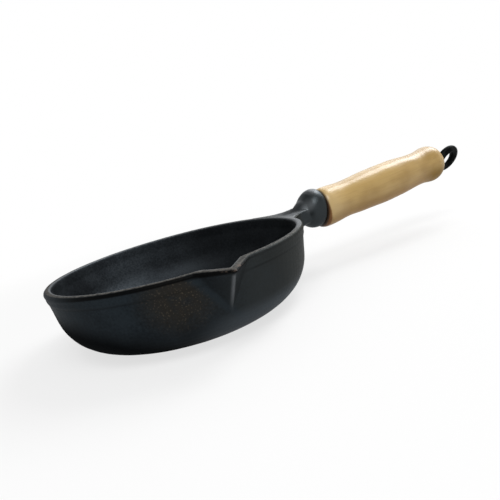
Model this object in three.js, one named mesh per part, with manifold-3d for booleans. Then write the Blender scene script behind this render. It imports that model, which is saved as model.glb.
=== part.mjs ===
import * as THREE from 'three';
import { mergeVertices } from 'three/addons/utils/BufferGeometryUtils.js';
import Module from 'manifold-3d';

// Bowl
const rimRadius = 90;
const panHeight = 48;
const baseRadius = 55.5;
const wallDraft = 1.6;
const bandHeight = 8;
const bandProud = 1.4;
const bandLead = 1.2;
const bandFootEase = 0.25;
const rimWidth = 5;
const rimEdgeRound = 0.9;
const rimLipThickness = 3;
const rimLipProud = 0.5;
const wallThickness = 4;
const floorThickness = 4.5;

// Pour spout on the -Y side
const spoutTipRadius = 108.6;
const spoutTipTrim = 0.6;
const spoutTipDrop = 0.8;
const spoutHalfAngle = 10.8;
const spoutFootHeight = 20.5;
const spoutLipDepth = 9.4;
const spoutLipThickness = 1.6;
const spoutLipOverhang = 2.4;

// Spout wedges, as shares of their runs from tip to shoulder and from tip to foot
const spoutRoot = { flank: 1.15, crease: 1.05 };
const spoutChannel = { flank: 1.1, crease: 0.95, rise: 0.1 };

// Handle line
const neckReach = 30;
const seatAxisDrop = 2.7;
const handleRise = 4.4;
const seatLean = 10.6;
const seatLeanFade = 12;

// Neck bar and bolster, one row for each cross section, placed from the rim: share of the reach,
// half width, then middle, top and bottom from the rim's level, squareness, share of the seat's tilt
const neckSections = [
  [-0.267, 22, -4, 0, -17.5, 5, 0],
  [-0.133, 18.5, -3.8, 0, -17, 5, 0],
  [-0.033, 15.6, -3.4, 0.1, -16.2, 5, 0],
  [0.05, 13.4, -3, 0.4, -15.2, 5, 0],
  [0.133, 12.2, -2.6, 0.9, -13.8, 5, 0],
  [0.243, 11.4, -2.2, 1.4, -12.2, 5, 0],
  [0.353, 11, -1.8, 1.8, -10.8, 4.6, 0],
  [0.453, 10.9, -1.5, 2.2, -10.4, 4.2, 0],
  [0.6, 10.8, -1.2, 2.6, -10, 4, 0],
];
const bolsterSections = [
  [0.08, 2.5, -3, 0.5, -8, 2, 0],
  [0.16, 4.6, -2.6, 1.7, -9, 2, 0],
  [0.243, 6, -2, 3, -9.6, 2, 0.14],
  [0.353, 7.8, -1.3, 5.2, -10, 2, 0.43],
  [0.43, 9.4, -0.9, 7, -10.4, 2, 0.68],
  [0.5, 11.2, -0.7, 8.4, -11.2, 2, 0.88],
  [0.56, 12.9, -0.5, 10.4, -12.2, 2, 1],
  [0.62, 14.2, -0.4, 12.6, -13.4, 2, 1.08],
  [0.69, 15, -0.4, 14.2, -14.7, 2, 1.13],
  [0.76, 15.4, -0.4, 14.9, -15.6, 2, 1.1],
  [0.83, 15.5, -0.5, 15.1, -16, 2, 1.05],
  [0.9, 15.3, -0.8, 14.8, -16.1, 2, 1],
  [0.957, 14.8, -1.1, 14, -15.9, 2, 1],
  [1, 14, -1.4, 12.8, -15.4, 2, 1],
];

// Grip, distance from its seat and radius
const gripProfile = [
  [0, 13.1],
  [0.5, 13.9],
  [1.6, 14.8],
  [3.2, 15.4],
  [6, 15.75],
  [10, 15.75],
  [16, 15.45],
  [22, 15.05],
  [28, 14.9],
  [34, 15.15],
  [42, 15.65],
  [52, 16.05],
  [64, 16.25],
  [74, 16.2],
  [84, 15.9],
  [94, 15.3],
  [102, 14.75],
  [108, 14.55],
  [113, 14.8],
  [117.4, 15.5],
  [121.2, 15.9],
  [124.4, 15.8],
  [127.4, 15.1],
  [129.8, 13.7],
  [131.6, 11.8],
  [132.8, 9.6],
  [133.2, 7],
];

// Eye rod
const rodRadius = 3;
const eyeTubeRadius = 3.4;
const eyeOuterRadius = 12.3;
const eyeTwist = 34;
const eyeDrop = 1.6;
const eyeStandoff = 1.6;
const threadLength = 15;
const rodTipChamfer = 0.8;

// Clearances
const seatGap = 0.3;
const gripBoreClearance = 0.4;
const tappedHoleClearance = 0.3;
const tappedHoleSpare = 2;

// How far a cut runs past the surface it opens
const bowlCutOverrun = 30;
const holeCutOverrun = 5;

// Facets
const bowlFacets = 120;
const neckFacets = 40;
const gripFacets = 48;
const rodFacets = 24;
const eyeFacets = 48;
const cornerSteps = 12;
const edgeSteps = 3;
const weldTolerance = 1e-4;

const wasm = await Module();
wasm.setup();

const deg = Math.PI / 180;
const wallTopRadius = rimRadius - bandProud;
const cornerRadius = wallTopRadius - wallDraft - baseRadius;
const seatDistance = rimRadius + neckReach;
const seatAxisHeight = panHeight - seatAxisDrop;
const seatTilt = handleRise - seatLean;
const gripLength = gripProfile[gripProfile.length - 1][0];
const gripStart = seatGap;
const gripEnd = gripStart + gripLength;
const eyeCentre = gripEnd + eyeStandoff + eyeOuterRadius;
const eyeMiddleRadius = eyeOuterRadius - eyeTubeRadius;

// Handle frame: local +Z runs out along the handle line from the bolster's seat
const handleFrame = new THREE.Matrix4().multiplyMatrices(
  new THREE.Matrix4().makeTranslation(seatDistance, 0, seatAxisHeight),
  new THREE.Matrix4().makeRotationY((90 - handleRise) * deg),
);

function toSolid(geometry) {
  const plain = new THREE.BufferGeometry();
  plain.setAttribute('position', geometry.attributes.position.clone());
  if (geometry.index) plain.setIndex(geometry.index.clone());
  const merged = mergeVertices(plain, weldTolerance);
  const index = merged.index.array;
  const kept = [];
  for (let i = 0; i < index.length; i += 3) {
    const [a, b, c] = [index[i], index[i + 1], index[i + 2]];
    if (a !== b && b !== c && c !== a) kept.push(a, b, c);
  }
  const mesh = new wasm.Mesh({
    numProp: 3,
    vertProperties: new Float32Array(merged.attributes.position.array),
    triVerts: new Uint32Array(kept),
  });
  const solid = new wasm.Manifold(mesh);
  return solid.volume() < 0 ? flipped(merged.attributes.position.array, kept) : solid;
}

function flipped(positions, triangles) {
  const turned = [];
  for (let i = 0; i < triangles.length; i += 3) {
    turned.push(triangles[i], triangles[i + 2], triangles[i + 1]);
  }
  return new wasm.Manifold(
    new wasm.Mesh({
      numProp: 3,
      vertProperties: new Float32Array(positions),
      triVerts: new Uint32Array(turned),
    }),
  );
}

function toGeometry(solid) {
  const mesh = solid.getMesh();
  const geometry = new THREE.BufferGeometry();
  geometry.setAttribute('position', new THREE.BufferAttribute(new Float32Array(mesh.vertProperties), 3));
  geometry.setIndex(new THREE.BufferAttribute(new Uint32Array(mesh.triVerts), 1));
  geometry.computeVertexNormals();
  return geometry;
}

// Turns a profile of radius and height about the Z axis
function turned(points, facets) {
  const geometry = new THREE.LatheGeometry(
    points.map(([r, z]) => new THREE.Vector2(r, z)),
    facets,
  );
  geometry.rotateX(90 * deg);
  return geometry;
}

function arc(centreR, centreZ, radius, fromDeg, toDeg, steps) {
  const points = [];
  for (let i = 0; i <= steps; i += 1) {
    const a = (fromDeg + ((toDeg - fromDeg) * i) / steps) * deg;
    points.push([centreR + radius * Math.cos(a), centreZ + radius * Math.sin(a)]);
  }
  return points;
}

// Angle on a corner circle where the line to an outside point touches it
function touchAngle(centreR, centreZ, radius, pointR, pointZ) {
  const dr = pointR - centreR;
  const dz = pointZ - centreZ;
  return (Math.atan2(dz, dr) - Math.acos(radius / Math.hypot(dr, dz))) / deg;
}

// Bowl, outside filled to the axis
const bandFoot = panHeight - bandHeight;
const bandRadius = rimRadius - rimLipProud;
const lipFoot = panHeight - rimLipThickness;
const outerTouch = touchAngle(baseRadius, cornerRadius, cornerRadius, wallTopRadius, bandFoot);
const outerProfile = [
  [0, 0],
  ...arc(baseRadius, cornerRadius, cornerRadius, -90, outerTouch, cornerSteps),
  [wallTopRadius, bandFoot],
  [bandRadius - bandFootEase, bandFoot + bandLead],
  [bandRadius, bandFoot + 2 * bandLead],
  [bandRadius, lipFoot - rimLipProud],
  [rimRadius, lipFoot],
  ...arc(rimRadius - rimEdgeRound, panHeight - rimEdgeRound, rimEdgeRound, 0, 90, edgeSteps),
  [0, panHeight],
];
let casting = toSolid(turned(outerProfile, bowlFacets));

// Radius of the bowl's outside at a height under the band
function outerRadiusAt(height) {
  const touchHeight = cornerRadius * (1 + Math.sin(outerTouch * deg));
  const touchRadius = baseRadius + cornerRadius * Math.cos(outerTouch * deg);
  if (height < touchHeight) {
    return baseRadius + Math.sqrt(cornerRadius ** 2 - (cornerRadius - height) ** 2);
  }
  const share = (height - touchHeight) / (bandFoot - touchHeight);
  return touchRadius + (wallTopRadius - touchRadius) * share;
}

// Spout, outside: a body under a thin lip that stands out over it
const spoutTip = new THREE.Vector3(0, -spoutTipRadius, panHeight - spoutTipDrop);
const spoutShoulder = new THREE.Vector3(
  rimRadius * Math.sin(spoutHalfAngle * deg),
  -rimRadius * Math.cos(spoutHalfAngle * deg),
  panHeight,
);
const spoutFoot = new THREE.Vector3(0, -outerRadiusAt(spoutFootHeight), spoutFootHeight);
const flankRun = spoutShoulder.clone().sub(spoutTip);
const creaseRun = spoutFoot.clone().sub(spoutTip);

function wedge(tip, flank, crease) {
  const right = tip.clone().add(flank);
  const left = new THREE.Vector3(-right.x, right.y, right.z);
  const foot = tip.clone().add(crease);
  const geometry = new THREE.BufferGeometry();
  const corners = [tip, right, left, foot].flatMap((v) => [v.x, v.y, v.z]);
  geometry.setAttribute('position', new THREE.Float32BufferAttribute(corners, 3));
  geometry.setIndex([0, 1, 2, 0, 3, 1, 0, 2, 3, 1, 3, 2]);
  return toSolid(geometry);
}

// Keeps what lies inside the tip's reach and above a height
function spoutLimit(height) {
  const reach = spoutTipRadius - spoutTipTrim;
  const outline = [
    [0, height],
    [reach, height],
    [reach, panHeight],
    [0, panHeight],
  ];
  return toSolid(turned(outline, bowlFacets));
}

const bodyTip = spoutTip.clone();
bodyTip.y += spoutLipOverhang;
const bodyFlank = spoutShoulder.clone().sub(bodyTip).multiplyScalar(spoutRoot.flank);
const bodyCrease = spoutFoot.clone().sub(bodyTip).multiplyScalar(spoutRoot.crease);
const lipFlank = flankRun.clone().multiplyScalar(spoutRoot.flank);
const spoutBody = wedge(bodyTip, bodyFlank, bodyCrease).intersect(spoutLimit(0));
const spoutLip = wedge(spoutTip, lipFlank, creaseRun).intersect(spoutLimit(spoutTip.z - spoutLipThickness));
casting = casting.add(spoutBody).add(spoutLip);

// Neck and bolster
function lofted(sections, facets) {
  const positions = [];
  const index = [];
  for (const [reachShare, halfWidth, middle, top, bottom, squareness, tiltShare] of sections) {
    const x = rimRadius + neckReach * reachShare;
    for (let i = 0; i < facets; i += 1) {
      const a = (2 * Math.PI * i) / facets;
      const c = Math.cos(a);
      const s = Math.sin(a);
      const y = halfWidth * Math.sign(c) * Math.abs(c) ** (2 / squareness);
      const reach = s > 0 ? top - middle : middle - bottom;
      const up = reach * Math.sign(s) * Math.abs(s) ** (2 / squareness);
      const height = panHeight + middle + up - seatAxisHeight;
      const tilt = seatTilt * tiltShare * deg;
      positions.push(x - height * Math.sin(tilt), y, seatAxisHeight + height * Math.cos(tilt));
    }
  }
  const last = (sections.length - 1) * facets;
  for (let k = 0; k < sections.length - 1; k += 1) {
    for (let i = 0; i < facets; i += 1) {
      const j = (i + 1) % facets;
      const a = k * facets + i;
      const b = k * facets + j;
      index.push(a, b, b + facets, a, b + facets, a + facets);
    }
  }
  for (let i = 1; i < facets - 1; i += 1) {
    index.push(0, i + 1, i);
    index.push(last, last + i, last + i + 1);
  }
  const geometry = new THREE.BufferGeometry();
  geometry.setAttribute('position', new THREE.Float32BufferAttribute(positions, 3));
  geometry.setIndex(index);
  return toSolid(geometry);
}
casting = casting.add(lofted(neckSections, neckFacets)).add(lofted(bolsterSections, neckFacets));

// Bowl and spout, inside
const innerRim = rimRadius - rimWidth;
const innerCorner = cornerRadius - wallThickness;
const innerCentreZ = floorThickness + innerCorner;
const innerWallTop = wallTopRadius - wallThickness;
const innerTouch = touchAngle(baseRadius, innerCentreZ, innerCorner, innerWallTop, bandFoot);
const innerProfile = [
  [0, floorThickness],
  ...arc(baseRadius, innerCentreZ, innerCorner, -90, innerTouch, cornerSteps),
  [innerWallTop, bandFoot],
  ...arc(innerRim + rimEdgeRound, panHeight - rimEdgeRound, rimEdgeRound, 180, 90, edgeSteps),
  [innerRim + rimEdgeRound, panHeight + bowlCutOverrun],
  [0, panHeight + bowlCutOverrun],
];
const lipTip = spoutTip.clone();
lipTip.y += spoutLipDepth;
lipTip.addScaledVector(creaseRun, -spoutChannel.rise);
casting = casting.subtract(toSolid(turned(innerProfile, bowlFacets)));
const channelFlank = flankRun.clone().multiplyScalar(spoutChannel.flank);
const channelCrease = creaseRun.clone().multiplyScalar(spoutChannel.crease);
casting = casting.subtract(wedge(lipTip, channelFlank, channelCrease));

// Tapped hole for the eye rod
const holeRadius = rodRadius + tappedHoleClearance;
const holeDepth = threadLength + tappedHoleSpare;
const hole = toSolid(
  turned(
    [
      [0, -holeDepth],
      [holeRadius, -holeDepth],
      [holeRadius, holeCutOverrun],
      [0, holeCutOverrun],
    ],
    rodFacets,
  ).applyMatrix4(handleFrame),
);
casting = casting.subtract(hole);

// Wooden grip with a through bore
const boreRadius = rodRadius + gripBoreClearance;
const gripOutline = [
  [boreRadius, gripStart],
  ...gripProfile.map(([along, radius]) => [radius, gripStart + along]),
  [boreRadius, gripEnd],
  [boreRadius, gripStart],
];

// Leans the front end to the seat; local -X is up, and the lean fades out along the grip
function leaned(geometry) {
  const points = geometry.attributes.position;
  for (let i = 0; i < points.count; i += 1) {
    const along = points.getZ(i) - gripStart;
    const fade = Math.max(0, 1 - along / seatLeanFade);
    points.setZ(i, points.getZ(i) - points.getX(i) * Math.tan(seatLean * deg) * fade);
  }
  return geometry;
}
const grip = toSolid(leaned(turned(gripOutline, gripFacets)).applyMatrix4(handleFrame));

// Eye rod
const shankEnd = eyeCentre - eyeMiddleRadius;
const shank = toSolid(
  turned(
    [
      [0, -threadLength],
      [rodRadius - rodTipChamfer, -threadLength],
      [rodRadius, -threadLength + rodTipChamfer],
      [rodRadius, shankEnd],
      [0, shankEnd],
    ],
    rodFacets,
  ).applyMatrix4(handleFrame),
);
const eyeGeometry = new THREE.TorusGeometry(eyeMiddleRadius, eyeTubeRadius, rodFacets, eyeFacets);
eyeGeometry.rotateY(90 * deg);
eyeGeometry.rotateZ((90 + eyeTwist) * deg);
eyeGeometry.translate(eyeDrop, 0, eyeCentre);
const rod = shank.add(toSolid(eyeGeometry.applyMatrix4(handleFrame)));

const part = new THREE.Group();

function addPiece(name, solid, colour, metalness, roughness) {
  const mesh = new THREE.Mesh(
    toGeometry(solid),
    new THREE.MeshStandardMaterial({ color: colour, metalness, roughness }),
  );
  mesh.name = name;
  part.add(mesh);
}

addPiece('pan_casting', casting, 0x2a2d30, 0.6, 0.6);
addPiece('wooden_grip', grip, 0xb9975f, 0, 0.4);
addPiece('eye_rod', rod, 0x202224, 0.8, 0.4);

export default part;
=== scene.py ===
import math

import bmesh
import bpy
from mathutils import Matrix, Vector, noise


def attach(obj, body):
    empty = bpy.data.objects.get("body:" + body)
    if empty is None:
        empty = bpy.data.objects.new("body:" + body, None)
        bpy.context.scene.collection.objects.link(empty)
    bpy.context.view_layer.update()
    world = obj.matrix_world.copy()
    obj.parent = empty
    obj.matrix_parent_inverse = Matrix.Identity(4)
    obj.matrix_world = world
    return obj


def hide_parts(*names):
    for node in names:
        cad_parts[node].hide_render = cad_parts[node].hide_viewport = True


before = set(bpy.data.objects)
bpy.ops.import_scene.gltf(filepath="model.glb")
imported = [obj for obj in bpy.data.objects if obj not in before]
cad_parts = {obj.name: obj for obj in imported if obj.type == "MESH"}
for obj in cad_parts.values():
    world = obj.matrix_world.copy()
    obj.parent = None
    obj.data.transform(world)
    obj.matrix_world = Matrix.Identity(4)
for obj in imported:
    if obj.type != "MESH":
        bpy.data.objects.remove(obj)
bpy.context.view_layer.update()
scene = bpy.context.scene
mm = 0.001

# Handle line, shared by the grip and the eye rod: mm and degrees
handleLine = {"seat": (120.0, 0.0, 45.3), "rise": 4.4, "seatLean": 10.6, "leanFade": 12.0}
print("frame loaded:", sorted(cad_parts))


# Shader maths: a socket that can stand in an expression
class Wire:
    def __init__(self, paint, socket):
        self.paint = paint
        self.socket = socket

    def out(self, name):
        return Wire(self.paint, self.socket.node.outputs[name])

    def sum(self, operation, first, second):
        return self.paint.add("ShaderNodeMath", {"operation": operation}, {0: first, 1: second})

    def __add__(self, other):
        return self.sum("ADD", self, other)

    def __radd__(self, other):
        return self.sum("ADD", other, self)

    def __sub__(self, other):
        return self.sum("SUBTRACT", self, other)

    def __rsub__(self, other):
        return self.sum("SUBTRACT", other, self)

    def __mul__(self, other):
        return self.sum("MULTIPLY", self, other)

    def __rmul__(self, other):
        return self.sum("MULTIPLY", other, self)


class Paint:
    def __init__(self, owner):
        owner.use_nodes = True
        self.owner = owner
        self.tree = owner.node_tree

    # any node: its type, its settings (set first), then its sockets' values or links
    def add(self, kind, settings=None, inputs=None, out=0):
        node = self.tree.nodes.new(kind)
        for key, value in (settings or {}).items():
            setattr(node, key, value)
        self.feed(node, inputs or {})
        return Wire(self, node.outputs[out])

    def feed(self, node, inputs):
        for key, value in inputs.items():
            if isinstance(value, Wire):
                self.tree.links.new(value.socket, node.inputs[key])
            else:
                node.inputs[key].default_value = value

    def place(self):
        return self.add("ShaderNodeTexCoord", out="Object")

    def stretched(self, vector, scale):
        return self.add("ShaderNodeMapping", {}, {"Vector": vector, "Scale": scale})

    def noise(self, vector, size, detail=2.0, rough=0.5):
        inputs = {"Vector": vector, "Scale": 1 / size, "Detail": detail, "Roughness": rough}
        return self.add("ShaderNodeTexNoise", {}, inputs)

    def step(self, value, low, high):
        settings = {"interpolation_type": "SMOOTHSTEP"}
        return self.add("ShaderNodeMapRange", settings, {"Value": value, "From Min": low, "From Max": high})

    # 1 between low and high, fading out over the rise below and the fall above
    def band(self, value, low, high, rise, fall):
        return self.step(value, low - rise, low) * self.step(value, high + fall, high)

    # 1 close to a point, 0 beyond the reach
    def near(self, vector, point, reach, soft):
        settings = {"operation": "DISTANCE"}
        away = self.add("ShaderNodeVectorMath", settings, {0: vector, 1: point}, out="Value")
        return 1 - self.step(away, reach - soft, reach + soft)

    def mix(self, share, first, second):
        settings = {"data_type": "RGBA", "blend_type": "MIX"}
        return self.add("ShaderNodeMix", settings, {0: share, 6: first, 7: second}, out=2)

    def bump(self, height, strength, distance, under=None):
        inputs = {"Height": height, "Strength": strength, "Distance": distance}
        if under:
            inputs["Normal"] = under
        return self.add("ShaderNodeBump", {}, inputs)

    def shine(self, inputs):
        self.feed(self.tree.nodes["Principled BSDF"], inputs)
        return self.owner

    # lays a second shader over the first by a mask
    def cover(self, share, shader):
        under = Wire(self, self.tree.nodes["Principled BSDF"].outputs[0])
        mixed = self.add("ShaderNodeMixShader", {}, {0: share, 1: under, 2: shader})
        self.feed(self.tree.nodes["Material Output"], {"Surface": mixed})
        return self.owner


# sRGB 0 to 255, as a colour picker shows it, to Blender's linear colour
def tone(red, green, blue):
    def linear(c):
        c = c / 255
        return c / 12.92 if c <= 0.04045 else ((c + 0.055) / 1.055) ** 2.4
    return (linear(red), linear(green), linear(blue), 1.0)


# Seasoned cast iron: painted shade low on the outside, a little lighter inside, smooth on the bolster
ironLook = {
    # the first two tones are painted shade
    "black": tone(3, 3, 3),
    "shadeTone": tone(10, 11, 12),
    "dark": tone(18, 23, 27),
    "light": tone(36, 43, 48),
    # the grey tone is painted light on the outside's right side
    "grey": tone(54, 55, 52),
    "insideDark": tone(37, 41, 45),
    "insideLight": tone(66, 72, 77),
    "brown": tone(43, 39, 33),
    "fleck": tone(78, 72, 62),
    "landDark": tone(48, 47, 45),
    "landLight": tone(94, 92, 88),
    "landBrown": tone(58, 54, 49),
    "tipRust": tone(92, 80, 73),
    # the next two tones are painted highlights
    "wearAndHighlight": tone(104, 107, 110),
    "highlightTone": tone(122, 125, 128),
    "bolster": tone(49, 54, 57),
    "metallic": 0.85,
    "specular": 0.3,
    "edgeTint": (0.58, 0.59, 0.6, 1.0),
    "roughness": (0.46, 0.6),
    "shadeRoughness": 0.85,
    "bolsterRoughness": 0.4,
    # noises: size, detail and roughness
    "grain": (1.4 * mm, 3.0, 0.65),
    "lumps": (5 * mm, 2.0),
    "clouds": (34 * mm, 3.0, 0.55),
    "wander": (14 * mm, 3.0, 0.6),
    "fleckGrain": (0.9 * mm, 0.0),
    "chipGrain": (2.2 * mm, 3.0, 0.65),
    "speckGrain": (1.6 * mm, 2.0),
    # bumps: strength and height
    "grainBump": (0.7, 0.06 * mm),
    "lumpBump": (0.2, 0.25 * mm),
    # spots: place, reach and softness
    "brownSpot": ((-27 * mm, -84 * mm, 37 * mm), 16 * mm, 12 * mm),
    "leftLandShadeSpot": ((-86 * mm, 12 * mm, 48 * mm), 34 * mm, 17 * mm),
    "landHighlightSpot": ((84 * mm, -28 * mm, 48 * mm), 34 * mm, 17 * mm),
    "hollowSpot": ((97 * mm, 5 * mm, 49.6 * mm), 7 * mm, 4.2 * mm),
    "filletSpot": ((106 * mm, -9 * mm, 52.5 * mm), 5 * mm, 3 * mm),
    "tipSpot": ((1 * mm, -102 * mm, 47 * mm), 7 * mm, 2.8 * mm),
    # bands: low end, high end, fade below and fade above
    "ridge": (-1 * mm, 0, 4 * mm, 4 * mm),
    "bandFoot": (40 * mm, 40 * mm, 1 * mm, 1.4 * mm),
    "lipShade": (46.2 * mm, 47.4 * mm, 1 * mm, 0.5 * mm),
    "front": (-72 * mm, 4 * mm, 15 * mm, 20 * mm),
    "spoutShade": (45.3 * mm, 46.3 * mm, 1 * mm, 0.4 * mm),
    "edgeTurn": (-50 * mm, -10 * mm, 25 * mm, 8 * mm),
    # steps: where a mask starts and where it is full
    "mottle": (0.36, 0.66),
    "innerTurn": (4 * mm, -4 * mm),
    "insideRight": (-35 * mm, 45 * mm),
    "insideLeft": (-38 * mm, -66 * mm),
    "greyFade": (-24 * mm, 22 * mm),
    "greyEdge": (28 * mm, 64 * mm),
    "bolsterStart": (92 * mm, 100 * mm),
    "bolsterTop": (100 * mm, 108 * mm),
    "topFacing": (0.7, 1.0),
    "lowShadeHeight": (16 * mm, 33 * mm),
    "stainBreaks": (0.2, 0.5),
    "stainEnd": (2 * mm, -5 * mm),
    "foldFrom": (76 * mm, 82 * mm),
    "flecks": (0.62, 0.78),
    "spoutFrom": (86 * mm, 90 * mm),
    "sheenHeight": (22 * mm, 11 * mm),
    "sheenFrom": (-26 * mm, 10 * mm),
    "shadeRight": (3 * mm, -1 * mm),
    "rimLand": (45.5 * mm, 46.6 * mm),
    "landFacing": (0.86, 0.98),
    "chips": (0.36, 0.6),
    "specks": (0.5, 0.62),
    "creaseWidth": (1.7 * mm, 0.2 * mm),
    "creaseFrom": (84 * mm, 90 * mm),
    "creaseRise": (22 * mm, 36 * mm),
    "creaseTop": (43 * mm, 45 * mm),
    "roughPatches": (0.35, 0.65),
    # the painted shade's edge climbs to the left, and the spout's fold leans
    "lowShadeFrom": -60 * mm,
    "lowShadeSlope": 0.4,
    "lowShadeWander": 6 * mm,
    "foldFoot": 22 * mm,
    "foldLean": 0.77,
    # share of each tone where its mask is full
    "share": {
        "insideRight": 0.72, "insideLeft": 0.45, "grey": 0.42, "greyEdge": 0.38, "bolster": 0.8,
        "neckTop": 0.45, "bolsterTop": 0.5, "fillet": 0.25, "shadeTone": 0.92, "hollow": 0.6,
        "stain": 0.75, "ridge": 0.6, "flecks": 0.6, "footStain": 0.7, "bandFoot": 0.4, "sheen": 0.8,
        "lipShade": 0.2, "lipFront": 0.75, "spoutShade": 0.9, "landHighlight": 0.85, "leftLandShade": 0.8, "tip": 0.7,
        "edge": 0.85, "creaseFoot": 0.4, "crease": 0.65, "smoothed": 0.85,
    },
}


def seasonedIron():
    look = ironLook
    share = look["share"]
    paint = Paint(bpy.data.materials.new("seasonedIron"))
    place = paint.place()
    axes = paint.add("ShaderNodeSeparateXYZ", {}, {0: place})
    height = axes.out("Z")
    forward = 0 - axes.out("Y")
    grain = paint.noise(place, *look["grain"])
    lumps = paint.noise(place, *look["lumps"])
    clouds = paint.noise(place, *look["clouds"])
    mottle = paint.step(clouds * 0.5 + grain * 0.5, *look["mottle"])
    outside = paint.mix(mottle, look["dark"], look["light"])
    inside = paint.mix(mottle, look["insideDark"], look["insideLight"])

    # the surface faces the pan's axis on the inside of the wall
    flat = paint.add("ShaderNodeVectorMath", {"operation": "MULTIPLY"}, {0: place, 1: (1, 1, 0)})
    facing = paint.add("ShaderNodeTexCoord", out="Normal")
    dot = {"operation": "DOT_PRODUCT"}
    turned = paint.add("ShaderNodeVectorMath", dot, {0: flat, 1: facing}, out="Value")
    facingUp = paint.add("ShaderNodeSeparateXYZ", {}, {0: facing}, out="Z")
    smooth = paint.step(axes, *look["bolsterStart"])
    inner = paint.step(turned, *look["innerTurn"]) * (1 - smooth)
    bare = (1 - inner) * (1 - smooth)

    # painted shade on the inside, darker towards the right and at the far left
    inside = paint.mix(share["insideRight"] * paint.step(axes, *look["insideRight"]), inside, look["shadeTone"])
    inside = paint.mix(share["insideLeft"] * paint.step(axes, *look["insideLeft"]), inside, look["shadeTone"])
    # painted light: the outside greyer and lighter towards the right
    greyed = share["grey"] * paint.step(axes, *look["greyFade"])
    greyed = greyed + share["greyEdge"] * paint.step(axes, *look["greyEdge"])
    outside = paint.mix(greyed, outside, look["grey"])
    outside = paint.mix(smooth * share["bolster"], outside, look["bolster"])
    # painted highlights on the tops of the neck and bolster and at the bolster's fillet
    topped = share["neckTop"] + share["bolsterTop"] * paint.step(axes, *look["bolsterTop"])
    topped = topped * paint.step(facingUp, *look["topFacing"])
    outside = paint.mix(smooth * topped, outside, look["highlightTone"])
    fillet = paint.near(place, *look["filletSpot"])
    outside = paint.mix(fillet * share["fillet"], outside, look["highlightTone"])
    colour = paint.mix(inner, outside, inside)

    # painted shade low on the left and in the hollow of the neck
    slope = (axes - look["lowShadeFrom"]) * look["lowShadeSlope"]
    low = 1 - paint.step(height + slope + clouds * look["lowShadeWander"], *look["lowShadeHeight"])
    hollow = paint.near(place, *look["hollowSpot"])
    shadeCover = low * bare * share["shadeTone"] + hollow * share["hollow"]

    # brown stain with flecks, cut off at the spout's fold, and a painted highlight along the fold
    fold = axes + (height - look["foldFoot"]) * look["foldLean"]
    wander = paint.noise(place, *look["wander"])
    stain = paint.near(place, *look["brownSpot"]) * paint.step(wander, *look["stainBreaks"])
    stain = stain * (1 - inner) * paint.step(fold, *look["stainEnd"])
    colour = paint.mix(stain * share["stain"], colour, look["brown"])
    ridge = paint.band(fold, *look["ridge"]) * bare * paint.step(forward, *look["foldFrom"])
    colour = paint.mix(ridge * share["ridge"], colour, look["light"])
    flecks = paint.step(paint.noise(place, *look["fleckGrain"]), *look["flecks"])
    colour = paint.mix(flecks * stain * share["flecks"], colour, look["fleck"])

    # painted shade along the band's foot, a painted sheen low on the right, painted shade under the rim and
    # the spout's lip
    onSpout = paint.step(forward, *look["spoutFrom"])
    atFoot = paint.band(height, *look["bandFoot"]) * bare * (1 - onSpout) * (1 - share["footStain"] * stain)
    colour = paint.mix(atFoot * share["bandFoot"], colour, look["shadeTone"])
    sheen = paint.step(height, *look["sheenHeight"]) * paint.step(axes, *look["sheenFrom"]) * bare
    colour = paint.mix(sheen * share["sheen"], colour, look["insideLight"])
    under = share["lipShade"] + share["lipFront"] * paint.band(axes, *look["front"])
    under = under * paint.band(height, *look["lipShade"]) * bare
    colour = paint.mix(under, colour, look["black"])
    shade = paint.band(height, *look["spoutShade"]) * onSpout * paint.step(axes, *look["shadeRight"])
    colour = paint.mix(shade * bare * share["spoutShade"], colour, look["black"])

    # the rim's land with chips, specks at the spout's tip, painted highlights on the rim's inner edge and
    # the spout's crease
    high = paint.step(height, *look["rimLand"]) * (1 - smooth)
    land = paint.step(facingUp, *look["landFacing"]) * high
    chips = paint.step(paint.noise(place, *look["chipGrain"]), *look["chips"])
    landTone = paint.mix(chips, look["landDark"], look["landLight"])
    # painted highlight on the land's right side, painted shade with a brown tone on its left side
    landTone = paint.mix(paint.near(place, *look["landHighlightSpot"]) * share["landHighlight"], landTone, look["highlightTone"])
    landTone = paint.mix(paint.near(place, *look["leftLandShadeSpot"]) * share["leftLandShade"], landTone, look["landBrown"])
    colour = paint.mix(land, colour, landTone)
    tip = paint.near(place, *look["tipSpot"]) * facingUp * bare
    specks = paint.step(paint.noise(place, *look["speckGrain"]), *look["specks"])
    colour = paint.mix(tip * specks * share["tip"], colour, look["tipRust"])
    # painted highlights along the rim's inner edge and down the spout's crease
    edge = paint.band(turned, *look["edgeTurn"]) * high
    colour = paint.mix(edge * share["edge"], colour, look["wearAndHighlight"])
    sideways = paint.add("ShaderNodeMath", {"operation": "ABSOLUTE"}, {0: axes})
    foot = share["creaseFoot"]
    crease = foot + (1 - foot) * paint.step(height, *look["creaseRise"])
    crease = crease * paint.step(sideways, *look["creaseWidth"]) * paint.step(forward, *look["creaseFrom"])
    crease = crease * (1 - paint.step(height, *look["creaseTop"])) * bare
    colour = paint.mix(crease * share["crease"], colour, look["wearAndHighlight"])

    rough, roughest = look["roughness"]
    cast = rough + (roughest - rough) * paint.step(grain * 0.6 + clouds * 0.4, *look["roughPatches"])
    roughness = cast + (look["bolsterRoughness"] - cast) * smooth
    normal = paint.bump(lumps, *look["lumpBump"])
    normal = paint.bump(grain * (1 - share["smoothed"] * smooth), *look["grainBump"], normal)
    paint.shine({
        "Metallic": look["metallic"],
        "Specular IOR Level": look["specular"],
        "Specular Tint": look["edgeTint"],
        "Base Color": colour,
        "Roughness": roughness,
        "Normal": normal,
    })
    # a dark dull shader laid over the painted shade
    dull = {"Base Color": look["shadeTone"], "Roughness": look["shadeRoughness"], "Specular IOR Level": 0.0}
    return paint.cover(shadeCover, paint.add("ShaderNodeBsdfPrincipled", {}, dull))


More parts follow.
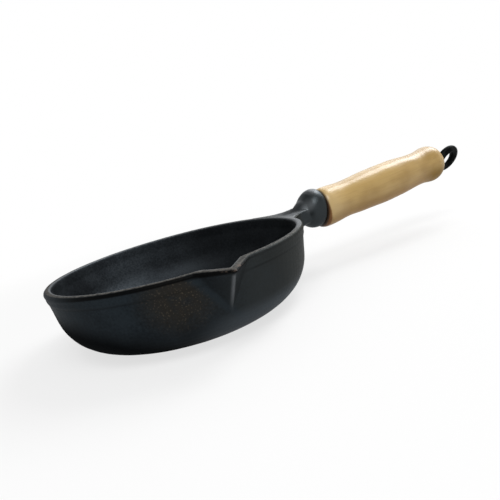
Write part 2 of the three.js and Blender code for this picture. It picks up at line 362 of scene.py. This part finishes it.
# Pale lacquered wood, grain along the grip's own X
woodLook = {
    "pale": tone(174, 144, 86),
    "honey": tone(154, 123, 66),
    "brown": tone(132, 98, 48),
    "olive": tone(112, 84, 8),
    "frontBrown": tone(102, 59, 20),
    # the next tone is painted light at the front end
    "frontLight": tone(198, 172, 124),
    # the next tone is painted shade in the seam
    "seamShade": tone(30, 20, 12),
    # noises: stretch along the grain, size, detail and roughness
    "bands": (0.1, 9 * mm, 3.0, 0.55),
    "fibres": (0.03, 0.8 * mm, 3.0, 0.6),
    "blotches": (1.0, 22 * mm, 2.0),
    "ripple": (0.5, 8 * mm, 3.0),
    # bumps: strength and height
    "rippleBump": (0.5, 0.6 * mm),
    "fibreBump": (0.05, 0.1 * mm),
    # steps: where a mask starts and where it is full
    "paleFrom": (0.34, 0.62),
    "fibreFrom": (0.48, 0.8),
    "frontLightFade": (5 * mm, 24 * mm),
    "underside": (-0.15, -0.75),
    "bulge": (98 * mm, 118 * mm),
    "bulgeShade": (0.15, -0.6),
    "endBand": (2.2 * mm, 3.6 * mm),
    "endWander": 0.8 * mm,
    "seam": (0.8 * mm, 2.4 * mm),
    "specular": 0.2,
    "roughness": (0.4, 0.14),
    "coat": 0.6,
    "coatRoughness": 0.24,
    # share of each tone where its mask is full, and of the coat that is rubbed off
    "share": {
        "fibres": 0.34, "frontLight": 0.5, "under": 0.7, "dusk": 0.75, "frontBrown": 0.9, "seamShade": 0.9,
        "underCoat": 0.9, "duskCoat": 0.8,
    },
}


def lacqueredWood():
    look = woodLook
    share = look["share"]
    paint = Paint(bpy.data.materials.new("lacqueredWood"))
    place = paint.place()

    def streaks(stretch, *sizes):
        return paint.noise(paint.stretched(place, (stretch, 1.0, 1.0)), *sizes)

    along = paint.add("ShaderNodeSeparateXYZ", {}, {0: place})
    bands = streaks(*look["bands"])
    fibres = streaks(*look["fibres"])
    blotches = streaks(*look["blotches"])
    pale = paint.step(bands * 0.4 + blotches * 0.6, *look["paleFrom"])
    colour = paint.mix(pale, look["honey"], look["pale"])
    colour = paint.mix(paint.step(fibres, *look["fibreFrom"]) * share["fibres"], colour, look["brown"])
    # painted light near the front end
    front = 1 - paint.step(along, *look["frontLightFade"])
    colour = paint.mix(front * share["frontLight"], colour, look["frontLight"])

    # painted shade, darker and duller on the underside, most of all at the outer bulge
    facing = paint.add("ShaderNodeTexCoord", out="Normal")
    facingUp = paint.add("ShaderNodeSeparateXYZ", {}, {0: facing}, out="Z")
    under = paint.step(facingUp, *look["underside"])
    colour = paint.mix(under * share["under"], colour, look["brown"])
    dusk = paint.step(along, *look["bulge"]) * paint.step(facingUp, *look["bulgeShade"])
    colour = paint.mix(dusk * share["dusk"], colour, look["olive"])

    # a brown band at the front end, and painted shade in the seam where the grip meets the bolster
    frontBrown = 1 - paint.step(along + fibres * look["endWander"], *look["endBand"])
    lean = math.tan(math.radians(handleLine["seatLean"]))
    seamShade = 1 - paint.step(along - along.out("Z") * lean, *look["seam"])
    colour = paint.mix(frontBrown * share["frontBrown"], colour, look["frontBrown"])
    colour = paint.mix(seamShade * share["seamShade"], colour, look["seamShade"])

    normal = paint.bump(streaks(*look["ripple"]), *look["rippleBump"])
    normal = paint.bump(fibres, *look["fibreBump"], normal)
    coat = look["coat"] * (1 - frontBrown)
    coat = coat * (1 - share["underCoat"] * under) * (1 - share["duskCoat"] * dusk)
    rough, rougher = look["roughness"]
    return paint.shine({
        "Coat Roughness": look["coatRoughness"],
        "Specular IOR Level": look["specular"],
        "Base Color": colour,
        "Roughness": rough + rougher * fibres,
        "Coat Weight": coat,
        "Normal": normal,
    })


# Blackened steel
steelLook = {
    "dark": tone(7, 8, 8),
    "wearAndHighlight": tone(36, 38, 38),
    "metallic": 0.8,
    "specular": 0.3,
    "edgeTint": (0.5, 0.51, 0.51, 1.0),
    "scale": (2 * mm, 3.0, 0.6),
    "scaleBump": (0.35, 0.15 * mm),
    "rubs": (6 * mm, 2.0),
    "rubFrom": (0.5, 0.75),
    "rubShare": 0.6,
    "roughness": (0.34, 0.2),
}


def blackSteel():
    look = steelLook
    paint = Paint(bpy.data.materials.new("blackSteel"))
    place = paint.place()
    scale = paint.noise(place, *look["scale"])
    rubs = paint.step(paint.noise(place, *look["rubs"]), *look["rubFrom"])
    rough, rougher = look["roughness"]
    return paint.shine({
        "Metallic": look["metallic"],
        "Specular IOR Level": look["specular"],
        "Specular Tint": look["edgeTint"],
        "Base Color": paint.mix(rubs * look["rubShare"], look["dark"], look["wearAndHighlight"]),
        "Roughness": rough + rougher * scale,
        "Normal": paint.bump(scale, *look["scaleBump"]),
    })


print("finishes ready")


# Mesh helpers
def addObject(name, mesh, material):
    piece = bpy.data.objects.new(name, mesh)
    scene.collection.objects.link(piece)
    piece.data.materials.clear()
    piece.data.materials.append(material)
    return piece


def meshOf(name, points, faces):
    mesh = bpy.data.meshes.new(name)
    mesh.from_pydata(points, [], faces)
    mesh.update()
    return mesh


def bakeModifiers(piece):
    bpy.context.view_layer.update()
    graph = bpy.context.evaluated_depsgraph_get()
    mesh = bpy.data.meshes.new_from_object(piece.evaluated_get(graph))
    old = piece.data
    piece.modifiers.clear()
    piece.data = mesh
    bpy.data.meshes.remove(old)


def softenCast(piece, voxel, rounds):
    remesh = piece.modifiers.new("remesh", "REMESH")
    remesh.mode = "VOXEL"
    remesh.voxel_size = voxel
    smooth = piece.modifiers.new("smooth", "SMOOTH")
    smooth.factor = 0.5
    smooth.iterations = rounds
    bakeModifiers(piece)


def shadeSmooth(piece):
    for face in piece.data.polygons:
        face.use_smooth = True


# rings of points about the local X axis; the last ring joins the first when closed
def ringMesh(name, rings, facets, closed):
    points = []
    for along, radius in rings:
        for i in range(facets):
            a = 2 * math.pi * i / facets
            r = radius(a) if callable(radius) else radius
            points.append((along * mm, r * math.cos(a) * mm, r * math.sin(a) * mm))
    faces = []
    count = len(rings)
    for k in range(count if closed else count - 1):
        n = (k + 1) % count
        for i in range(facets):
            j = (i + 1) % facets
            faces.append((k * facets + i, n * facets + i, n * facets + j, k * facets + j))
    if not closed:
        faces.append(tuple(range(facets)))
        faces.append(tuple(reversed(range((count - 1) * facets, count * facets))))
    return meshOf(name, points, faces)


# smooth line through the profile's points
def throughPoints(points, gap):
    def between(a, b, c, d, t):
        bend = (2 * a - 5 * b + 4 * c - d) * t ** 2
        return 0.5 * (2 * b + (c - a) * t + bend + (3 * b - a - 3 * c + d) * t ** 3)

    line = []
    last = len(points) - 1
    for k in range(last):
        around = [points[min(max(k + i, 0), last)] for i in (-1, 0, 1, 2)]
        steps = max(1, int(math.dist(around[1], around[2]) / gap))
        for s in range(steps):
            line.append(tuple(between(*values, s / steps) for values in zip(*around)))
    line.append(points[-1])
    return line


def handleMatrix():
    rise = math.radians(handleLine["rise"])
    along = Vector((math.cos(rise), 0, math.sin(rise)))
    side = Vector((0, 1, 0))
    matrix = Matrix((along, side, along.cross(side))).transposed().to_4x4()
    matrix.translation = Vector(handleLine["seat"]) * mm
    return matrix


# Pan: the casting with rounded edges and the slight lumps of sand casting
castPan = {
    "voxel": 0.8 * mm,
    "rounds": 2,
    "lumpSize": 9 * mm,
    "lumpHeight": 0.07 * mm,
    "rimRadius": 90 * mm,
    "rimTop": 48 * mm,
    "rimRound": (2.6 * mm, 0.9 * mm),
    "roundFade": (5 * mm, 72 * mm),
    "web": [
        (80.1, 40.8, 48.2), (84, 33.9, 48.3), (87.3, 28.4, 48.4), (90.5, 23.4, 48.6), (94.1, 19.1, 48.9),
        (97.7, 16, 49.4), (101, 13.6, 50.2), (105, 10, 51.4), (105, 4, 50), (98, 4, 48.2), (87, 2, 48),
        (85.2, 20, 48), (80.5, 34, 48),
    ],
    "webFoot": 39,
    "spoutReach": -80 * mm,
    "spoutTip": (0, -108.6 * mm, 47.2 * mm),
    "spoutShoulder": (16.9 * mm, -88.4 * mm, 48 * mm),
}


# how far a spot lies outside the rim's outline, which way is out, and the top's height there
def rimOutline(spot):
    look = castPan
    flat = Vector((spot.x, spot.y, 0))
    away = flat.length - look["rimRadius"]
    outward = flat.normalized()
    top = look["rimTop"]
    if spot.y < look["spoutReach"]:
        tip = Vector(look["spoutTip"])
        run = Vector(look["spoutShoulder"]) - tip
        flank = Vector((run.y, -run.x, 0)).normalized()
        beyond = flank.dot(Vector((abs(spot.x), spot.y, 0)) - Vector((tip.x, tip.y, 0)))
        if beyond < away:
            away = beyond
            outward = Vector((math.copysign(flank.x, spot.x), flank.y, 0))
            top = tip.z + run.z * min(1.0, max(0.0, (spot.y - tip.y) / run.y))
    return away, outward, top


# rounds the outer edge of the rim and of the spout's lip
def roundRim(mesh):
    wide, narrow = castPan["rimRound"]
    fadeStart, fadeEnd = castPan["roundFade"]
    for vertex in mesh.vertices:
        away, outward, top = rimOutline(vertex.co)
        fade = min(1.0, max(0.0, (vertex.co.x - fadeStart) / (fadeEnd - fadeStart)))
        radius = wide + (narrow - wide) * fade
        inset = away + radius
        rise = vertex.co.z - (top - radius)
        reach = math.hypot(inset, rise)
        if inset > 0 and rise > 0 and radius < reach < 2 * radius and fade < 1:
            pull = radius / reach - 1
            vertex.co += outward * inset * pull + Vector((0, 0, rise * pull))


# plate that blends the far side of the neck into rim and bolster: plan points and top heights in mm
def addNeckWeb(mesh):
    work = bmesh.new()
    work.from_mesh(mesh)
    low = [work.verts.new((x * mm, y * mm, castPan["webFoot"] * mm)) for x, y, top in castPan["web"]]
    high = [work.verts.new((x * mm, y * mm, top * mm)) for x, y, top in castPan["web"]]
    faces = [work.faces.new(low[::-1]), work.faces.new(high)]
    for i in range(len(low)):
        j = (i + 1) % len(low)
        faces.append(work.faces.new((low[i], low[j], high[j], high[i])))
    bmesh.ops.recalc_face_normals(work, faces=faces)
    work.to_mesh(mesh)
    work.free()


def makePan():
    look = castPan
    piece = addObject("castPan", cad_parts["pan_casting"].data.copy(), seasonedIron())
    addNeckWeb(piece.data)
    softenCast(piece, look["voxel"], look["rounds"])
    mesh = piece.data
    roundRim(mesh)
    mesh.update()
    normals = [v.normal.copy() for v in mesh.vertices]
    for vertex, normal in zip(mesh.vertices, normals):
        lump = noise.noise(vertex.co / look["lumpSize"])
        vertex.co += normal * lump * look["lumpHeight"]
        vertex.co.z = max(vertex.co.z, 0.0)  # the base stands flat
    mesh.update()
    shadeSmooth(piece)
    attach(piece, "pan")
    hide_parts("pan_casting")
    print("pan:", len(mesh.polygons), "faces")


# Grip: distance from the seat and radius, in mm
turnedGrip = {
    "start": 0.3,
    "bore": 3.4,
    "boreEdge": 0.4,
    "facets": 96,
    "gap": 1.0,
    "lumpSize": 15 * mm,
    "lumpHeight": 0.3 * mm,
    "lumpSink": 0.5,
    "lumpsFrom": (4 * mm, 12 * mm),
    "lumpsTo": (120 * mm, 128 * mm),
    "profile": [
        (0, 13.1), (0.5, 13.9), (1.6, 14.8), (3.2, 15.4), (6, 15.75), (10, 15.75), (16, 15.45), (22, 15.05),
        (28, 14.9), (34, 15.15), (42, 15.65), (52, 16.05), (64, 16.25), (74, 16.2), (84, 15.9), (94, 15.3),
        (102, 14.75), (108, 14.55), (113, 14.8), (117.4, 15.5), (121.2, 15.9), (124.4, 15.6), (127.4, 14.6),
        (129.8, 13), (131.6, 11), (132.8, 9), (133.2, 7),
    ],
}


def makeGrip():
    look = turnedGrip
    start = look["start"]
    outside = throughPoints(look["profile"], look["gap"])
    rings = [(start + along, radius) for along, radius in outside]
    end = rings[-1][0]
    bore = look["bore"]
    edge = look["boreEdge"]
    rings += [(end, bore + edge), (end - edge, bore), (start + edge, bore), (start, bore + edge)]
    mesh = ringMesh("turnedGrip", rings, look["facets"], True)
    lean = math.tan(math.radians(handleLine["seatLean"]))
    for vertex in mesh.vertices:  # slight lumps of hand finishing, none at the two ends
        around = Vector((0, vertex.co.y, vertex.co.z))
        if around.length > 2 * bore * mm:
            low, high = look["lumpsFrom"]
            ramp = min(1.0, max(0.0, (vertex.co.x - low) / (high - low)))
            low, high = look["lumpsTo"]
            ramp = ramp * min(1.0, max(0.0, (high - vertex.co.x) / (high - low)))
            lump = noise.noise(vertex.co / look["lumpSize"]) - look["lumpSink"]
            vertex.co += around.normalized() * lump * ramp * look["lumpHeight"]
    for vertex in mesh.vertices:  # the front end leans to meet the bolster's seat
        fade = max(0.0, 1 - (vertex.co.x / mm - start) / handleLine["leanFade"])
        vertex.co.x += vertex.co.z * lean * fade
    piece = addObject("turnedGrip", mesh, lacqueredWood())
    piece.matrix_world = handleMatrix()
    shadeSmooth(piece)
    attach(piece, "grip")
    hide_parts("wooden_grip")
    print("grip:", len(piece.data.polygons), "faces")


# Eye rod: thread, shank and welded eye
tieRod = {
    "radius": 3.0,
    "tip": -15.0,
    "tipRadius": 2.0,
    "threadEnd": 3.0,
    "threadFade": 1.5,
    "pitch": 1.0,
    "stepsPerTurn": 8,
    "threadDepth": 0.55,
    "stubStart": 131.0,
    "stubOverlap": 1.0,
    "eyeCentre": 147.4,
    "eyeMiddle": 8.9,
    "eyeTube": 3.4,
    "eyeDrop": 1.6,
    "eyeSag": 1.3,
    "sagThin": 0.6,
    "twist": 34.0,
    "facets": 36,
    "loopSteps": 72,
    "tubeSteps": 24,
    "voxel": 0.4 * mm,
    "rounds": 2,
}


def threadRadius(along):
    look = tieRod

    def radius(angle):
        phase = (along / look["pitch"] - angle / (2 * math.pi)) % 1.0
        crest = 1 - abs(2 * phase - 1)
        fade = min(1.0, max(0.0, (look["threadEnd"] - along) / look["threadFade"]))
        r = look["radius"] - look["threadDepth"] * (1 - crest) * fade
        return min(r, look["tipRadius"] + along - look["tip"])
    return radius


def eyeLoop(work):
    look = tieRod
    twist = math.radians(look["twist"])
    alongHandle = Vector((1, 0, 0))
    across = Vector((0, -math.sin(twist), math.cos(twist)))
    through = alongHandle.cross(across)
    centre = Vector((look["eyeCentre"], 0, -look["eyeDrop"]))
    loops = look["loopSteps"]
    tube = look["tubeSteps"]
    grid = []
    for i in range(loops):
        a = 2 * math.pi * i / loops
        outward = alongHandle * math.cos(a) + across * math.sin(a)
        sag = max(0.0, -math.sin(a))  # the lower arm hangs lower and is thinner
        middle = look["eyeMiddle"] + look["eyeSag"] * sag
        thick = look["eyeTube"] - look["sagThin"] * sag
        row = []
        for j in range(tube):
            b = 2 * math.pi * j / tube
            spot = centre + outward * (middle + thick * math.cos(b))
            row.append(work.verts.new((spot + through * thick * math.sin(b)) * mm))
        grid.append(row)
    for i in range(loops):
        for j in range(tube):
            n = (i + 1) % loops
            m = (j + 1) % tube
            work.faces.new((grid[i][j], grid[n][j], grid[n][m], grid[i][m]))


def makeEyeRod():
    look = tieRod
    radius = look["radius"]
    facets = look["facets"]
    turns = look["threadEnd"] - look["tip"]
    count = int(turns / look["pitch"] * look["stepsPerTurn"])
    rings = []
    for k in range(count):
        along = look["tip"] + turns * k / count
        rings.append((along, threadRadius(along)))
    rings.append((look["threadEnd"], radius))
    rings.append((look["stubStart"] + look["stubOverlap"], radius))
    shank = ringMesh("shank", rings, facets, False)

    eye = bmesh.new()
    stubRings = [(look["stubStart"], radius), (look["eyeCentre"] - look["eyeMiddle"], radius)]
    eye.from_mesh(ringMesh("stub", stubRings, facets, False))
    eyeLoop(eye)
    bmesh.ops.recalc_face_normals(eye, faces=eye.faces)
    eyeMesh = bpy.data.meshes.new("eye")
    eye.to_mesh(eyeMesh)
    eye.free()

    piece = addObject("eyeRod", eyeMesh, blackSteel())
    softenCast(piece, look["voxel"], look["rounds"])
    joined = bmesh.new()
    joined.from_mesh(piece.data)
    joined.from_mesh(shank)
    bmesh.ops.recalc_face_normals(joined, faces=joined.faces)
    joined.to_mesh(piece.data)
    joined.free()
    piece.matrix_world = handleMatrix()
    shadeSmooth(piece)
    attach(piece, "eye_rod")
    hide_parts("eye_rod")
    print("eye rod:", len(piece.data.polygons), "faces")


makePan()
makeGrip()
makeEyeRod()


# Studio: floor, world, lamps
studio = {
    "floor": 30.0,
    "floorColour": (0.7, 0.7, 0.7, 1.0),
    "floorRoughness": 0.9,
    "floorDrop": 0.2 * mm,
    # where the shadow shows: middle, reach and softness
    "floorSpot": ((0.08, 0.0, 0.0), 0.42, 0.21),
    "paperShare": 0.7,
    "fill": 0.42,
    "sky": (0.45, 0.62),
    "ceiling": 0.4,
    "aim": (0.10, 0.0, 0.04),
    "lamps": [
        # name, place, size, watts
        ("topBox", (1.0, 0.2, 1.0), (0.5, 0.9), 13.5),
        ("frontBox", (-0.13, -0.56, 1.0), (0.7, 0.5), 7.0),
        ("backBox", (0.75, 0.7, 0.8), (0.6, 0.6), 2.4),
    ],
}


def makeFloor():
    look = studio
    half = look["floor"] / 2
    points = [(-half, -half, 0), (half, -half, 0), (half, half, 0), (-half, half, 0)]
    paint = Paint(bpy.data.materials.new("paleFloor"))
    paint.shine({
        "Base Color": look["floorColour"],
        "Roughness": look["floorRoughness"],
        "Specular IOR Level": 0.0,
    })
    seen = paint.add("ShaderNodeLightPath", out="Is Camera Ray")
    shown = seen + seen.out("Is Glossy Ray") + seen.out("Is Transmission Ray")
    far = 1 - paint.near(paint.place(), *look["floorSpot"])
    white = paint.add("ShaderNodeEmission", {}, {"Color": (1, 1, 1, 1), "Strength": 1.0})
    share = look["paperShare"]
    paper = paint.cover((share + (1 - share) * far) * shown, white)
    floor = addObject("floor", meshOf("floor", points, [(0, 1, 2, 3)]), paper)
    floor.location.z = -look["floorDrop"]


# white up to where the camera looks, a dimmer ceiling above
def makeWorld():
    look = studio
    paint = Paint(bpy.data.worlds.new("paleRoom"))
    path = paint.add("ShaderNodeLightPath", out="Is Camera Ray")
    shown = path + path.out("Is Glossy Ray") + path.out("Is Transmission Ray")
    direction = paint.add("ShaderNodeTexCoord", out="Generated")
    height = paint.add("ShaderNodeSeparateXYZ", {}, {0: direction}, out="Z")
    dark = (look["ceiling"],) * 3 + (1,)
    sky = paint.mix(paint.step(height, *look["sky"]), (1, 1, 1, 1), dark)
    lit = paint.add("ShaderNodeBackground", {}, {"Color": (1, 1, 1, 1), "Strength": look["fill"]})
    white = paint.add("ShaderNodeBackground", {}, {"Color": sky, "Strength": 1.0})
    mixed = paint.add("ShaderNodeMixShader", {}, {0: shown, 1: lit, 2: white})
    paint.feed(paint.tree.nodes["World Output"], {"Surface": mixed})
    scene.world = paint.owner


def makeLamps():
    aim = Vector(studio["aim"])
    for name, place, size, watts in studio["lamps"]:
        lamp = bpy.data.lights.new(name, "AREA")
        lamp.shape = "RECTANGLE"
        lamp.size, lamp.size_y = size
        lamp.energy = watts
        item = bpy.data.objects.new(name, lamp)
        item.location = place
        item.rotation_euler = (aim - Vector(place)).to_track_quat("-Z", "Y").to_euler()
        scene.collection.objects.link(item)


makeFloor()
makeWorld()
makeLamps()
print("studio ready")


# Camera, fitted to the photograph's outlines: angles in degrees, lengths in mm
viewpoint = {
    "azimuth": -13.56,
    "elevation": 8.89,
    "roll": 13.86,
    "distance": 320.46,
    "rimHeight": 47.97,
    "aimRight": 50.24,
    "aimUp": -13.82,
    "lens": 32.394,
    "sensor": 36.0,
    "clip": (0.01, 60.0),
}


def makeCamera():
    look = viewpoint
    az = math.radians(look["azimuth"])
    el = math.radians(look["elevation"])
    roll = math.radians(look["roll"])
    back = Vector((math.sin(az) * math.cos(el), -math.cos(az) * math.cos(el), math.sin(el)))
    right = Vector((math.cos(az), math.sin(az), 0))
    up = back.cross(right)
    rim = Vector((0, 0, look["rimHeight"]))
    eye = rim + back * look["distance"]
    target = rim + right * look["aimRight"] + up * look["aimUp"]
    forward = (target - eye).normalized()
    level = forward.cross(Vector((0, 0, 1))).normalized()
    above = level.cross(forward)
    sideAxis = level * math.cos(roll) - above * math.sin(roll)
    topAxis = level * math.sin(roll) + above * math.cos(roll)
    lens = bpy.data.cameras.new("photoCamera")
    lens.lens = look["lens"]
    lens.sensor_width = look["sensor"]
    lens.clip_start, lens.clip_end = look["clip"]
    camera = bpy.data.objects.new("photoCamera", lens)
    matrix = Matrix((sideAxis, topAxis, -forward)).transposed().to_4x4()
    matrix.translation = eye * mm
    camera.matrix_world = matrix
    scene.collection.objects.link(camera)
    scene.camera = camera


makeCamera()
scene.view_settings.view_transform = "Standard"
print("camera ready")
